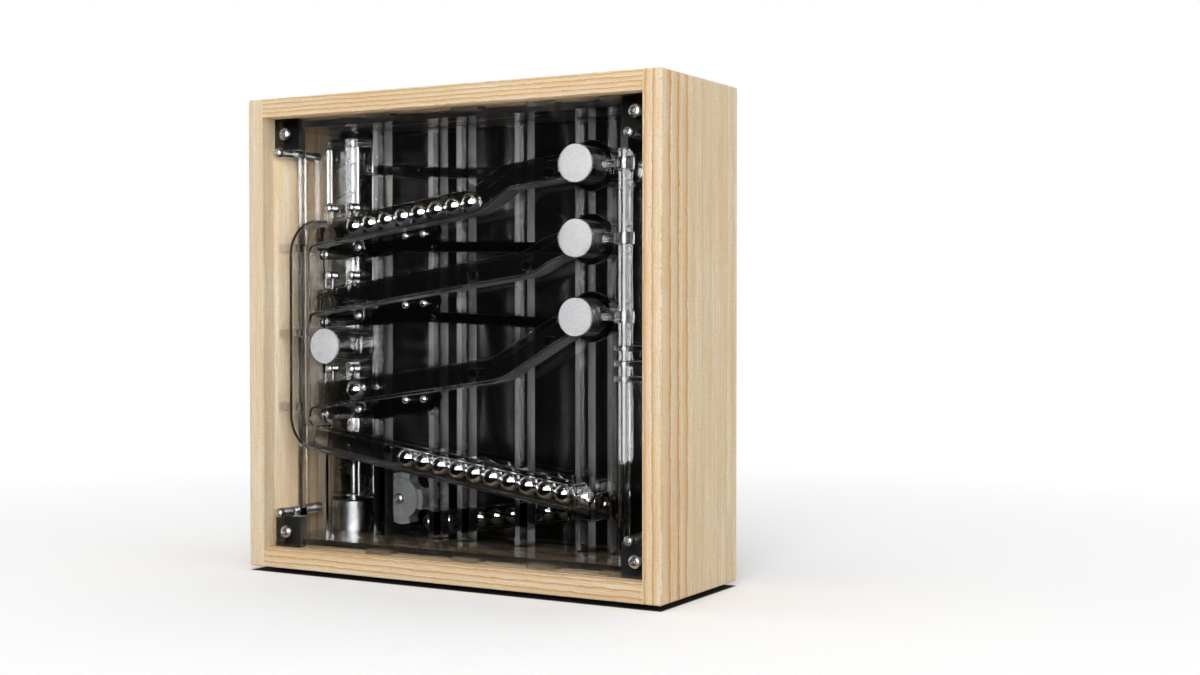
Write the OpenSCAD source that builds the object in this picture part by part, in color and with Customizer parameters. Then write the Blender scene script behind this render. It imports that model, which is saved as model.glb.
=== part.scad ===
// Rolling ball clock: a wooden box with clear panels, three sloping rows that
// count single minutes, tens of minutes and hours with steel balls, and a
// motor driven screw lift behind them. Millimetres, +Z up, front towards -Y,
// origin at the bottom centre of the whole clock.

/* [Case] */
// outer width of the wooden case
case_w = 300; // [300:1:330]
// outer height of the wooden case, without the feet
case_h = 300; // [300:1:330]
// depth of the wooden case
case_d = 100; // [100:1:112]
// thickness of the four boards
board_t = 12; // [8:0.5:12]
// distance from the board edges to the front and back panels
recess = 10.3; // [10.3:0.1:10.8]
// thickness of the clear front panel and of the dark back panel
panel_t = 3; // [2:0.5:3]
// height of the rubber feet
foot_h = 3; // [2:0.5:5]
// diameter of the rubber feet
foot_d = 14; // [10:1:20]

/* [Balls] */
// diameter of the steel balls, half an inch
ball_d = 12.7; // [12.5:0.1:12.7]
// free space left between two neighbouring balls
ball_gap = 0.05; // [0.05:0.01:0.1]
// free space around a ball in its track
play = 0.3; // [0.3:0.05:0.4]
// balls standing in the minute row
minute_count = 8; // [1:1:8]
// balls waiting in the front reservoir row
front_count = 10; // [1:1:10]
// balls waiting in the rear reservoir row
rear_count = 11; // [1:1:11]

/* [Rows] */
// slope of the rows in degrees
slope = 8.05; // [7.5:0.05:8.5]
// from the left board to the first, lowest place of every row
first_in = 59.5; // [58:0.5:61]
// from the top board down to the first place of the minute row
minute_drop = 69.9; // [67:0.1:73]
// from the first place of the minute row down to that of the tens row
tens_drop = 43.5; // [42:0.1:45]
// from the first place of the tens row down to that of the hour row
hour_drop = 60; // [58:0.1:61]
// thickness of the front and rear wall of a track
wall = 1.2; // [1:0.1:1.2]
// thickness of the floor of a track
floor_t = 1.6; // [1.2:0.1:2]
// radius of the bends, on the line of the ball centres
bend_r = 14; // [13:0.5:15]

/* [Cross tubes] */
// outer diameter of the cross tubes and their white caps
tube_d = 22.4; // [21:0.2:23]
// bore of the cross tubes
tube_bore = 14; // [13.6:0.2:15]
// thickness of the white caps
cap_t = 2; // [1:0.5:3]
// from the right board to the three right cross tubes
right_tube_in = 51.3; // [50:0.1:52]
// minute and tens cross tube above the first place of their row
tube_rise = 32.4; // [31:0.1:34]
// hour cross tube above the first place of the hour row
hour_tube_rise = 46.5; // [45:0.1:48]
// from the left board to the overflow tube at the left lane
left_tube_in = 39.3; // [39:0.1:40]
// overflow tube above the first place of the hour row
left_tube_rise = 27.5; // [26.5:0.1:28]

/* [Trip gear] */
// opening angle of the gates in degrees
gate_open = 52; // [40:1:52]
// diameter of the nose pin that holds the row
nose_d = 2; // [1.6:0.2:2.2]
// diameter of the pivot screws
pivot_d = 3; // [2.5:0.5:3.5]
// radial running clearance of pivots and shafts
run_fit = 0.05; // [0.03:0.01:0.08]
// thickness of a gate plate
gate_t = 2; // [1.5:0.1:2]
// thickness of a lever plate
lever_t = 2.5; // [2:0.1:2.5]

/* [Lift] */
// from the left board to the lift screw
lift_in = 20; // [19:0.5:20]
// outer diameter of the clear lift tube
lift_d = 33.4; // [33:0.1:33.4]
// wall of the lift tube
lift_wall = 1; // [0.8:0.1:1]
// rise of the screw in one turn
pitch = 20; // [18:1:24]
// outer diameter of the screw flight
flight_d = 22; // [20:0.5:22]
// diameter of the lift shaft
shaft_d = 4; // [3:0.5:4]
// diameter of the lift motor
motor_d = 20; // [16:1:22]
// from the lift screw to the feed wheel
wheel_in = 43.5; // [43:0.5:44]
// feed wheel above the base plate
wheel_rise = 23.5; // [23:0.5:24.5]
// outer diameter of the feed wheel
wheel_d = 34; // [30:1:34]

/* [Frame] */
// side of the square clear posts
post_w = 9; // [8:0.5:9]
// diameter of the four long standoffs
standoff_d = 6; // [5:0.5:6]
// diameter of the right column
column_d = 7; // [6:0.5:8]
// thickness of the base plate and of the top plate
base_t = 4; // [3:0.5:4]
// height of the pads that keep these plates off the boards
pad_h = 2; // [1.5:0.5:2.5]
// thickness of the mid plate
mid_t = 2; // [2:0.1:2.2]
// head diameter of the corner screws
m4_head = 8; // [7:0.5:8]
// head diameter of the standoff and track screws
m3_head = 5.6; // [5:0.2:6]

/* [Hidden] */
$fn = 64;
ball_r = ball_d / 2;
step = ball_d + ball_gap;
half_in = ball_r + play;
lane_w = 2 * half_in + 2 * wall;
case_top = foot_h + case_h;
in_x = case_w / 2 - board_t;
in_bot = foot_h + board_t;
in_top = case_top - board_t;
layer_gap = 0.4;
m3 = 3;
m4 = 4;

// front to back layers
panel_y = -case_d / 2 + recess;
lane_y0 = panel_y + panel_t + layer_gap;
lane_y = lane_y0 + lane_w / 2;
lane_y1 = lane_y0 + lane_w;
gate_y = lane_y1 + layer_gap;
lever_y = gate_y + gate_t + play;
mid_y = lever_y + lever_t + layer_gap;
carry_y0 = mid_y + mid_t;
post_y = carry_y0 + lane_w;
back_y = case_d / 2 - recess - panel_t;
// the lift stands close to the back panel, and the rear tracks lie in line with it
lift_gap = 0.45;
lift_y = back_y - lift_gap - lift_d / 2;
rear_y = lift_y;
rear_y0 = rear_y - lane_w / 2;
rear_y1 = rear_y0 + lane_w;
post_deep = rear_y0 - post_y;

floor_z = in_bot + pad_h + base_t;
ceiling_z = in_top - pad_h - base_t;
row_dir = [cos(slope), sin(slope)];
first_x = -in_x + first_in;
minute_z = in_top - minute_drop;
tens_z = minute_z - tens_drop;
hour_z = tens_z - hour_drop;
right_tube_x = in_x - right_tube_in;
minute_tube_z = minute_z + tube_rise;
tens_tube_z = tens_z + tube_rise;
hour_tube_z = hour_z + hour_tube_rise;
left_tube_x = -in_x + left_tube_in;
left_tube_z = hour_z + left_tube_rise;
lift_x = -in_x + lift_in;
wheel_x = lift_x + wheel_in;
wheel_z = floor_z + wheel_rise;
bend_dx = -25.8;
bend_x = first_x + bend_dx;
bend_dz = bend_dx * tan(slope) - bend_r / cos(slope);
lane_x = bend_x - bend_r;
res_z = hour_z + bend_dz - bend_r / cos(slope);
res_start = [bend_x, hour_z + bend_dz] - bend_r * [sin(slope), cos(slope)];
turn_x = in_x - 57.6;
turn_half = half_in + 0.05;
res_x0 = turn_x - 118.7;
rear_line_x = wheel_x + 84.2;
rear_line_z = wheel_z - 5.6;
rear_x0 = wheel_x + 21.2;
// as many rear balls as stand between the feed wheel and the turn
rear_n = min(rear_count, floor((turn_x - 7.3 - rear_x0) / (step * cos(slope))) + 1);
turn_post = turn_half + post_w / 2;
post_xs = [wheel_x - 9.5, -39.8, -18, 25.6, turn_x - turn_post, turn_x + turn_post];
lane_x0 = lane_x - half_in - floor_t;
lane_x1 = lane_x + half_in + floor_t;
nose_gap = 0.35;
// small step that keeps tangent faces apart
seam = 0.1;
tube_zs = [minute_tube_z, tens_tube_z, hour_tube_z];
row_zs = [minute_z, tens_z, hour_z];
column_xy = [in_x - 26.5, mid_y - 6.5];
wall_bore = ball_d + 0.9;

// points of the trip gear, measured from the first place of a row
ring_p = [-33.6, -17];
gate_p = [-3.5, -13.2];
nose_a = 210;
nose_r = ball_r + nose_gap + nose_d / 2;
nose_p = nose_r * [cos(nose_a), sin(nose_a)];
nose_arm = norm(nose_p - gate_p);
nose_from = atan2(nose_p[1] - gate_p[1], nose_p[0] - gate_p[0]);
tail_arm = 9;
tail_a = -60;
tail_d = 2.4;
tail_p = gate_p + tail_arm * [cos(tail_a), sin(tail_a)];
weight_ps = [[30.8, -6.3], [44.7, -5.3]];
lug_ps = [[-9.8, 12.6], [-27.8, 12.6]];
boss_d = 6;
lug_head = 5;

function row_at(z0, x) = [x, z0 + (x - first_x) * tan(slope)];
function res_at(x) = [x, res_z - (x - bend_x) * tan(slope)];
function rear_at(x) = [x, rear_line_z + (x - rear_line_x) * tan(slope)];
function unit(v) = v / norm(v);
function left_of(v) = [-v[1], v[0]];
function miter(pts, i) = let (n = len(pts),
    a = left_of(unit(i > 0 ? pts[i] - pts[i - 1] : pts[1] - pts[0])),
    b = left_of(unit(i < n - 1 ? pts[i + 1] - pts[i] : pts[n - 1] - pts[n - 2])))
    (a + b) / (1 + a * b);

// flat shape in x and z, spread over t in y from y0 on
module slab(y0, t) {
    translate([0, y0 + t, 0]) rotate([90, 0, 0]) linear_extrude(height = t) children();
}

// rod along y
module yrod(x, z, y0, y1, d) {
    translate([x, y1, z]) rotate([90, 0, 0]) cylinder(d = d, h = y1 - y0);
}

// band beside a line of points, from offset a to offset b on its left
module band(pts, a, b) {
    n = len(pts);
    polygon(concat([for (i = [0 : n - 1]) pts[i] + a * miter(pts, i)],
        [for (i = [n - 1 : -1 : 0]) pts[i] + b * miter(pts, i)]));
}

// part of a ring between two angles no more than 170 degrees apart
module ring_part(c, r0, r1, a0, a1) {
    far = 3 * r1;
    am = (a0 + a1) / 2;
    translate(c) intersection() {
        difference() {
            circle(r = r1);
            circle(r = r0);
        }
        polygon([[0, 0], far * [cos(a0), sin(a0)], far * [cos(am), sin(am)],
            far * [cos(a1), sin(a1)]]);
    }
}

// line of points, longer by a at its start and by 1 at its end
function stretch(pts, a) = let (n = len(pts)) concat([pts[0] - a * unit(pts[1] - pts[0])],
    [for (i = [1 : 1 : n - 2]) pts[i]], [pts[n - 1] + unit(pts[n - 1] - pts[n - 2])]);

// solid bar along a line of points in the layer that starts at y0
module bar(pts, y0, top = half_in) {
    slab(y0, lane_w) band(pts, -half_in - floor_t, top);
}

// what makes a channel of that bar
module bar_cut(pts, y0, start = 1) {
    slab(y0 + wall, lane_w - 2 * wall) band(stretch(pts, start), -half_in, half_in + seam / 2);
}

// the same for a bend round c
module bend_solid(c, top, a0, a1) {
    slab(lane_y0, lane_w) ring_part(c, bend_r - half_in - floor_t + seam, top, a0, a1);
}

module bend_cut(c, top, a0, a1) {
    slab(lane_y0 + wall, lane_w - 2 * wall)
        ring_part(c, bend_r - half_in - seam, top, a0, a1);
}

module phillips(d, depth) {
    for (a = [0, 90]) rotate([0, 0, a]) translate([-d / 2, -d / 12, -depth])
        cube([d, d / 6, depth + 1]);
}

// pan head screw along y, head towards the front (dir 1) or the back (dir -1)
module screw(x, y, z, head_d, shaft, long, dir) {
    translate([x, y, z]) rotate([dir > 0 ? 90 : -90, 0, 0]) {
        difference() {
            cylinder(d = head_d, h = head_d * 0.32);
            translate([0, 0, head_d * 0.32]) phillips(head_d * 0.55, head_d * 0.14);
        }
        translate([0, 0, -long]) cylinder(d = shaft, h = long);
    }
}

/* ---- case ---- */
module side_board(s) {
    translate([s > 0 ? in_x : -case_w / 2, -case_d / 2, foot_h])
        cube([board_t, case_d, case_h]);
}

module rail(z) {
    translate([-in_x, -case_d / 2, z]) cube([2 * in_x, case_d, board_t]);
}

module left_side() {
    color("BurlyWood") side_board(-1);
}

module right_side() {
    color("BurlyWood") side_board(1);
}

module top_board() {
    color("BurlyWood") rail(in_top);
}

module bottom_board() {
    color("BurlyWood") rail(foot_h);
}

block_w = 20;
corner_in = 10;
corner_xz = [for (sx = [-1, 1], top = [0, 1])
    [sx * (in_x - corner_in), top == 1 ? in_top - corner_in : in_bot + corner_in]];
standoff_up = 21.6;
standoff_xz = [for (x = [-in_x + 3.8, in_x - 14.5], z = [in_bot, in_top])
    [x, z + (z > case_h / 2 ? -standoff_up : standoff_up)]];

module panel_shape(x0, x1, z0, z1) {
    translate([x0, z0]) square([x1 - x0, z1 - z0]);
}

module panel(y) {
    difference() {
        slab(y, panel_t) panel_shape(-in_x, in_x, in_bot, in_top);
        for (p = corner_xz) yrod(p[0], p[1], y - 1, y + panel_t + 1, m4);
        for (p = standoff_xz) if (y < 0 || p[0] > 0)
            yrod(p[0], p[1], y - 1, y + panel_t + 1, m3);
    }
}

module front_panel() {
    color("LightCyan") panel(panel_y);
}

inlet_xz = [in_x - 26, in_bot + 29];
inlet_d = 11;

module back_panel() {
    color("DimGray") difference() {
        panel(back_y);
        yrod(inlet_xz[0], inlet_xz[1], back_y - 1, back_y + panel_t + 1, inlet_d);
    }
}

block_t = 6;

module corner_blocks() {
    color("Silver") for (p = corner_xz) {
        for (f = [0, 1]) {
            y0 = f == 0 ? panel_y + panel_t : back_y - block_t;
            difference() {
                translate([p[0] - corner_in, y0, p[1] - corner_in])
                    cube([block_w, block_t, block_w]);
                yrod(p[0], p[1], y0 - 1, y0 + block_t + 1, m4);
                for (s = standoff_xz) yrod(s[0], s[1], y0 - 1, y0 + block_t + 1, standoff_d + 1);
                translate([lift_x, lift_y, in_bot - 1]) cylinder(d = lift_d + 0.6, h = case_h);
            }
        }
    }
}

module corner_screws() {
    color("Gainsboro") for (p = corner_xz) {
        screw(p[0], panel_y, p[1], m4_head, m4, panel_t + block_t, 1);
        screw(p[0], back_y + panel_t, p[1], m4_head, m4, panel_t + 2, -1);
    }
}

foot_in = 22;

module feet() {
    color("Black") for (sx = [-1, 1], sy = [-1, 1])
        translate([sx * (case_w / 2 - foot_in), sy * (case_d / 2 - foot_in), 0])
            cylinder(d = foot_d, h = foot_h);
}

// the left standoffs end behind the mid plate, in front of the lift
function standoff_end(x) = x < 0 ? post_y : back_y;
thread_t = 5;

module standoffs() {
    color("LightGray") for (p = standoff_xz) difference() {
        yrod(p[0], p[1], panel_y + panel_t, standoff_end(p[0]), standoff_d);
        yrod(p[0], p[1], panel_y + panel_t - 1, panel_y + panel_t + thread_t, m3);
        if (p[0] > 0) yrod(p[0], p[1], back_y - thread_t, back_y + 1, m3);
    }
}

module standoff_screws() {
    color("Gainsboro") for (p = standoff_xz) {
        screw(p[0], panel_y, p[1], m3_head, m3, panel_t + thread_t, 1);
        if (p[0] > 0) screw(p[0], back_y + panel_t, p[1], m3_head, m3, panel_t + thread_t, -1);
    }
}

/* ---- clear frame ---- */
base_in = 2;

pad_w = 20;
pad_deep = 8;
pad_xs = [-58, 8, 62, 112];

// frame plate with pads below it or above it and with notches round the corner blocks
module frame_plate(z, pad_z) {
    y0 = lane_y0 + base_in;
    deep = back_y - 1 - y0;
    difference() {
        union() {
            translate([-in_x, y0, z]) cube([2 * in_x, deep, base_t]);
            for (x = pad_xs, y = [y0, y0 + deep - pad_deep])
                translate([x - pad_w / 2, y, pad_z]) cube([pad_w, pad_deep, pad_h + 1]);
        }
        for (sx = [-1, 1], y = [panel_y + panel_t, back_y - block_t])
            translate([sx * (in_x - corner_in) - corner_in - 0.5, y - 0.5, z - 1 - pad_h])
            cube([block_w + 1, block_t + 1, base_t + 2 * pad_h + 2]);
    }
}

module base_plate() {
    color("LightCyan") difference() {
        frame_plate(in_bot + pad_h, in_bot);
        // shallow bed for the housing of the feed wheel
        yrod(wheel_x, wheel_z, rear_y0 - layer_gap, rear_y1 + layer_gap, 2 * house_r + 0.6);
    }
}

module top_plate() {
    color("LightCyan") frame_plate(ceiling_z, in_top - pad_h - 1);
}

module posts() {
    color("Gainsboro") for (x = post_xs)
        difference() {
            translate([x - post_w / 2, post_y, floor_z])
                cube([post_w, post_deep, ceiling_z - floor_z]);
            yrod(right_tube_x, minute_tube_z, post_y - 1, rear_y0 + 1, tube_d);
        }
}

mid_in = 0.5;
stop_p = [50, -14.3];
stop_d = 3;

module mid_plate() {
    color("LightCyan") {
        difference() {
            slab(mid_y, mid_t) panel_shape(-in_x + mid_in, in_x - mid_in, floor_z, ceiling_z);
            for (p = standoff_xz) yrod(p[0], p[1], mid_y - 1, mid_y + mid_t + 1, standoff_d);
            for (z = tube_zs) yrod(right_tube_x, z, mid_y - 1, mid_y + mid_t + 1, tube_d);
            yrod(left_tube_x, left_tube_z, mid_y - 1, mid_y + mid_t + 1, tube_d);
            for (z = [minute_z, tens_z]) carry_hole(z, mid_y - 1, mid_y + mid_t + 1);
            turn_gap(mid_y - 1, mid_y + mid_t + 1, turn_half + wall);
        }
        for (z = row_zs) yrod(first_x + stop_p[0], z + stop_p[1], lever_y, mid_y, stop_d);
    }
}

carry_a = 120;

module carry_hole(z0, y0, y1) {
    yrod(bend_x + bend_r * cos(carry_a), z0 + bend_dz + bend_r * sin(carry_a), y0, y1, wall_bore);
}

module turn_gap(y0, y1, half) {
    c = res_at(turn_x);
    translate([turn_x - half, y0, c[1] - 16]) cube([2 * half, y1 - y0, 26]);
}

/* ---- rows ---- */
function row_line(z0, knee_x, foot_p, head_p) =
    [row_at(z0, first_x + bend_dx + bend_r * (-sin(slope))), row_at(z0, knee_x - 4),
     row_at(z0, knee_x + 3) + [0, 1.2], foot_p, head_p];

// lug with a boss that reaches back to the mid plate
module lug(z0, p) {
    yrod(first_x + p[0], z0 + p[1], lane_y1 - wall, mid_y, boss_d);
    slab(lane_y1 - wall, wall) translate([first_x + p[0] - boss_d / 2, z0])
        square([boss_d, p[1]]);
}

module row_track(z0, knee_x, foot_p, head_p, boss_ps, roofed = false) {
    pts = row_line(z0, knee_x, foot_p, head_p);
    c = [bend_x, z0 + bend_dz];
    g = [first_x, z0] + gate_p;
    difference() {
        union() {
            bar(pts, lane_y0);
            bend_solid(c, bend_r + half_in + (roofed ? floor_t : -seam), 87 + slope, 180);
            for (p = lug_ps) lug(z0, p);
            for (p = boss_ps) yrod(p[0], p[1], lane_y1 - wall, mid_y, boss_d);
            slab(lane_y1 - wall, wall) {
                translate(g) circle(r = 4);
                translate([g[0] - 4, g[1]]) square([8, 6]);
            }
        }
        bar_cut(pts, lane_y0);
        bend_cut(c, roofed ? bend_r + half_in + seam : 2 * bend_r, 88 + slope, 184);
        // the lane has the side walls left of its own edge
        if (!roofed) for (y = [lane_y0 - 1, lane_y1 - wall])
            translate([lane_x1 - 2 * bend_r, y, c[1] - 1]) cube([2 * bend_r, wall + 1, 2 * bend_r]);
        // path of the nose pin through floor and rear wall
        slab(lane_y0 + wall, lane_w) ring_part(g, nose_arm - nose_d / 2 - 0.4,
            nose_arm + nose_d / 2 + 0.4, nose_from - 8, nose_from + gate_open + 8);
        yrod(g[0], g[1], lane_y1 - wall - 1, lane_y1 + 1, pivot_d);
        for (p = lug_ps) yrod(first_x + p[0], z0 + p[1], lane_y1 - wall - 1, mid_y + 1, m3);
        if (z0 > hour_z) carry_hole(z0, lane_y1 - wall - 1, lane_y1 + 1);
        translate([right_tube_x, 0, 0]) for (z = tube_zs) yrod(0, z, -case_d, case_d, tube_d);
    }
}

module minute_track() {
    c = [bend_x, minute_z + bend_dz];
    knee = first_x + 95.5;
    fin_z = row_at(minute_z, fin_xs[1])[1] + half_in - play;
    color("LightCyan") difference() {
        union() {
            row_track(minute_z, knee, [knee + 21, minute_tube_z - 5.5],
                [right_tube_x, minute_tube_z],
                [row_at(minute_z, knee - 12), [right_tube_x - 26.7, minute_tube_z - 3.5]], true);
            // two thin posts up to the level of the upper standoffs
            translate([fin_xs[0], fin_y, c[1]]) cube([fin_w, fin_t, post_top - c[1]]);
            translate([fin_xs[1], lane_y1 - 3, fin_z]) cube([fin_w, 3, post_top - fin_z]);
        }
        // room for the head and the shaft of the track screw in the right post
        translate([first_x, 0, minute_z]) {
            yrod(lug_ps[1][0], lug_ps[1][1], lane_y1 - 4, lane_y1 - wall, lug_head + 0.4);
            yrod(lug_ps[1][0], lug_ps[1][1], lane_y1 - 4, mid_y + 1, m3);
        }
    }
}

module tens_track() {
    knee = right_tube_x - 32.7;
    color("LightCyan") row_track(tens_z, knee, [knee + 14, tens_tube_z - 6],
        [right_tube_x, tens_tube_z], [row_at(tens_z, knee - 49), row_at(tens_z, knee - 10)]);
}

module hour_track() {
    knee = right_tube_x - 54.7;
    color("LightCyan") row_track(hour_z, knee, [knee + 38, hour_tube_z - 8.6],
        [right_tube_x, hour_tube_z],
        [row_at(hour_z, knee - 27), [knee + 28, hour_tube_z - 14.6]]);
}

fin_w = 2;
fin_t = 5;
fin_y = lane_y1 - fin_t;
fin_xs = [-in_x + 10.5, -in_x + 32];
post_top = in_top - 20;

module left_lane() {
    top = minute_z + bend_dz;
    low = hour_z + bend_dz;
    c = [bend_x, low];
    win_x = lane_x1 - floor_t - 1;
    color("LightCyan") difference() {
        union() {
            slab(lane_y0, lane_w) panel_shape(lane_x0, lane_x1, low, top);
            bend_solid(c, bend_r + half_in + floor_t - seam, 178, 270 - slope);
            // thin post that carries the lane down to the base plate
            translate([fin_xs[0], fin_y, floor_z]) cube([fin_w, fin_t, top - floor_z]);
        }
        slab(lane_y0 + wall, lane_w - 2 * wall)
            panel_shape(lane_x0 + floor_t, lane_x1 - floor_t, low - 3 * seam, top + 1);
        bend_cut(c, bend_r + half_in + seam, 180, 275 - slope);
        // mouths of the tens row, of the hour row and of the overflow tube
        for (w = [[tens_z + bend_dz, tens_z + 4], [low, hour_z + 4],
            [left_tube_z - half_in, left_tube_z + half_in]])
            translate([win_x, lane_y0 + wall, w[0]])
            cube([floor_t + 2, lane_w - 2 * wall, w[1] - w[0]]);
        carry_hole(tens_z, lane_y1 - wall - 1, lane_y1 + 1);
    }
}

res_end_x = turn_x + 0.3;

res_boss_xs = [-60, 0, 50];

module reservoir_track() {
    pts = [res_start, res_at(res_end_x)];
    color("LightCyan") difference() {
        union() {
            bar(pts, lane_y0);
            slab(lane_y0, lane_w) ring_part(pts[1], 0, half_in + floor_t - seam, -92 - slope, 60);
            for (x = res_boss_xs) yrod(x, res_at(x)[1], lane_y1 - wall, mid_y, boss_d);
            // thin post down to the base plate
            translate([fin_xs[1], fin_y, floor_z])
                cube([fin_w, fin_t, res_at(fin_xs[1])[1] - half_in - floor_z]);
        }
        bar_cut(pts, lane_y0);
        slab(lane_y0 + wall, lane_w - 2 * wall) translate(pts[1]) circle(r = half_in + seam);
        turn_gap(lane_y1 - wall - 0.5, lane_y1 + 1, turn_half);
    }
}

module rear_track() {
    pts = [rear_at(wheel_x + 22.5), rear_at(turn_x + turn_half + 1.5)];
    a = res_at(turn_x);
    b = rear_at(turn_x);
    color("LightCyan") {
        difference() {
            bar(pts, rear_y0);
            bar_cut(pts, rear_y0);
            translate([turn_x - turn_half, rear_y0 - 1, b[1] - half_in])
                cube([2 * turn_half, wall + 1.5, 30]);
        }
        // sloping floor and side walls of the turn
        translate([turn_x, 0, 0]) rotate([90, 0, 90])
            translate([0, 0, -turn_half]) linear_extrude(height = 2 * turn_half)
            polygon([[lane_y1 - wall, a[1] - half_in - 1.2], [rear_y0 + wall, b[1] - half_in],
                [rear_y0 + wall, b[1] - half_in - floor_t],
                [lane_y1 - wall, a[1] - half_in - 1.2 - floor_t]]);
        for (s = [-1, 1]) translate([turn_x + s * turn_half - (s < 0 ? wall : 0), lane_y1, 0])
            translate([0, 0, b[1] - 6]) cube([wall, post_y - lane_y1, 16]);
    }
}

carry_x0 = -in_x + 16;
// top of the low side walls of the long tracks, above the line of the ball centres
low_wall = -2;
entry_long = 22;

module carry(z0, z1) {
    p = [bend_x + bend_r * cos(carry_a), z0 + bend_dz + bend_r * sin(carry_a)];
    q = [right_tube_x, z1];
    d = unit(q - p);
    s = p + d * (carry_x0 - p[0]);
    difference() {
        union() {
            bar([s, q], carry_y0, low_wall);
            // higher walls where the balls come in
            bar([s, s + d * entry_long], carry_y0);
        }
        bar_cut([s, q], carry_y0, -wall);
        carry_hole(z0, carry_y0 - 1, carry_y0 + wall + 0.5);
        for (z = tube_zs) yrod(right_tube_x, z, -case_d, case_d, tube_d);
        translate([right_tube_x, -case_d, z1 - 50]) cube([50, 2 * case_d, 100]);
    }
}

module tens_carry_track() {
    color("LightCyan") carry(minute_z, tens_tube_z);
}

module hour_carry_track() {
    color("LightCyan") carry(tens_z, hour_tube_z);
}

feed_top = in_top - 25.5;

module feed_track() {
    pts = [[lift_x + lift_d / 2 + 0.5, feed_top], [right_tube_x, minute_tube_z]];
    color("LightCyan") difference() {
        bar(pts, rear_y0, low_wall);
        bar_cut(pts, rear_y0);
        yrod(right_tube_x, minute_tube_z, -case_d, case_d, tube_d);
        translate([right_tube_x, -case_d, minute_tube_z - 50]) cube([50, 2 * case_d, 100]);
    }
}

/* ---- cross tubes ---- */
flange_d = 30;

module cross_tube(x, z, y1, back_win) {
    y0 = lane_y0 + cap_t;
    difference() {
        union() {
            yrod(x, z, y0, y1, tube_d);
            yrod(x, z, mid_y - 3, mid_y, flange_d);
        }
        translate([x, y0, z]) rotate([-90, 0, 0]) translate([0, 0, -1])
            cylinder(d = tube_bore, h = y1 - y0 + 2);
        translate([x - tube_d, lane_y0, z - half_in]) cube([tube_d, lane_w - wall, 2 * half_in]);
        translate([x - tube_d, back_win, z - half_in])
            cube([tube_d, 2 * half_in, 2 * half_in]);
    }
}

module minute_tube() {
    color("LightCyan") cross_tube(right_tube_x, minute_tube_z, rear_y1, rear_y0 + wall);
}

module tens_tube() {
    color("LightCyan") cross_tube(right_tube_x, tens_tube_z, post_y, carry_y0 + wall);
}

module hour_tube() {
    color("LightCyan") cross_tube(right_tube_x, hour_tube_z, post_y, carry_y0 + wall);
}

over_end = post_y - 0.2;

module overflow_tube() {
    y0 = lane_y0 + cap_t;
    color("LightCyan") difference() {
        yrod(left_tube_x, left_tube_z, y0, over_end, tube_d);
        yrod(left_tube_x, left_tube_z, y0 - 1, over_end + 1, tube_bore);
        translate([left_tube_x - tube_d, lane_y0, left_tube_z - half_in])
            cube([tube_d, lane_w - wall, 2 * half_in]);
    }
}

module tube_caps() {
    color("White") {
        for (z = tube_zs) yrod(right_tube_x, z, lane_y0, lane_y0 + cap_t, tube_d);
        yrod(left_tube_x, left_tube_z, lane_y0, lane_y0 + cap_t, tube_d);
    }
}

/* ---- right column ---- */
column_top = minute_tube_z + 8.5;
clamp_d = 12;
clamp_h = 7;
spur_d = 4;
bracket_zs = [for (dz = [10.4, 19.4, 28.4]) hour_z + dz];

module right_column() {
    color("LightCyan") translate([column_xy[0], column_xy[1], floor_z])
        cylinder(d = column_d, h = column_top - floor_z);
}

module column_clamps() {
    cx = column_xy[0];
    cy = column_xy[1];
    color("Gainsboro") {
        for (z = tube_zs) difference() {
            union() {
                translate([cx, cy, z - clamp_h / 2]) cylinder(d = clamp_d, h = clamp_h);
                translate([right_tube_x, cy, z]) rotate([0, 90, 0])
                    cylinder(d = spur_d, h = cx - right_tube_x - 4);
            }
            translate([cx, cy, z - clamp_h]) cylinder(d = column_d, h = 2 * clamp_h);
            yrod(right_tube_x, z, -case_d, case_d, tube_d);
        }
        for (z = bracket_zs) difference() {
            union() {
                translate([cx, cy, z - 1.5]) cylinder(d = clamp_d, h = 3);
                translate([cx, cy - 4, z - 1.5]) cube([in_x - cx, 8, 3]);
            }
            translate([cx, cy, z - clamp_h]) cylinder(d = column_d, h = 2 * clamp_h);
        }
    }
}

strap_zs = [minute_z - 12.8, hour_z + 35.4, hour_z - 12.4];

module lane_straps() {
    color("LightCyan") {
        for (z = strap_zs) translate([-in_x, lane_y - 5, z - 2.5])
            cube([fin_xs[0] + in_x, 10, 5]);
        // two short ones tie the left post to the standoffs
        for (p = [standoff_xz[0], standoff_xz[1]]) difference() {
            translate([p[0], fin_y, p[1] - 2.5]) cube([fin_xs[0] - p[0], fin_t, 5]);
            yrod(p[0], p[1], fin_y - 1, fin_y + fin_t + 1, standoff_d);
        }
    }
}

/* ---- trip gear ---- */
lever_pts = [[-38.2, -20.4], [-39.2, -17], [-37.6, -13.8], [-31, -13], [-26.4, -10.6], [-24, -5.4],
    [-14, -7.5], [8, -9.2], [16, -4], [22, -0.6], [50, 3.8], [55, 1.5], [56.5, -4], [54.5, -9.5],
    [50, -12.4], [24, -16], [16, -18.6], [10, -19.2], [-12, -19.2], [-20, -20.4]];

module lever(z0) {
    translate([first_x, 0, z0]) difference() {
        slab(lever_y, lever_t) polygon(lever_pts);
        yrod(ring_p[0], ring_p[1], lever_y - 1, lever_y + lever_t + 1, bush_d + 2 * run_fit);
        for (p = weight_ps) yrod(p[0], p[1], lever_y - 1, lever_y + lever_t + 1, weight_d);
    }
}

weight_d = 5;
bush_d = 2.6;

module minute_lever() {
    color("DimGray") lever(minute_z);
}

module tens_lever() {
    color("DimGray") lever(tens_z);
}

module hour_lever() {
    color("DimGray") lever(hour_z);
}

module weights(z0) {
    for (p = weight_ps)
        yrod(first_x + p[0], z0 + p[1], gate_y, lever_y + lever_t, weight_d);
}

module minute_weights() {
    color("Silver") weights(minute_z);
}

module tens_weights() {
    color("Silver") weights(tens_z);
}

module hour_weights() {
    color("Silver") weights(hour_z);
}

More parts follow.
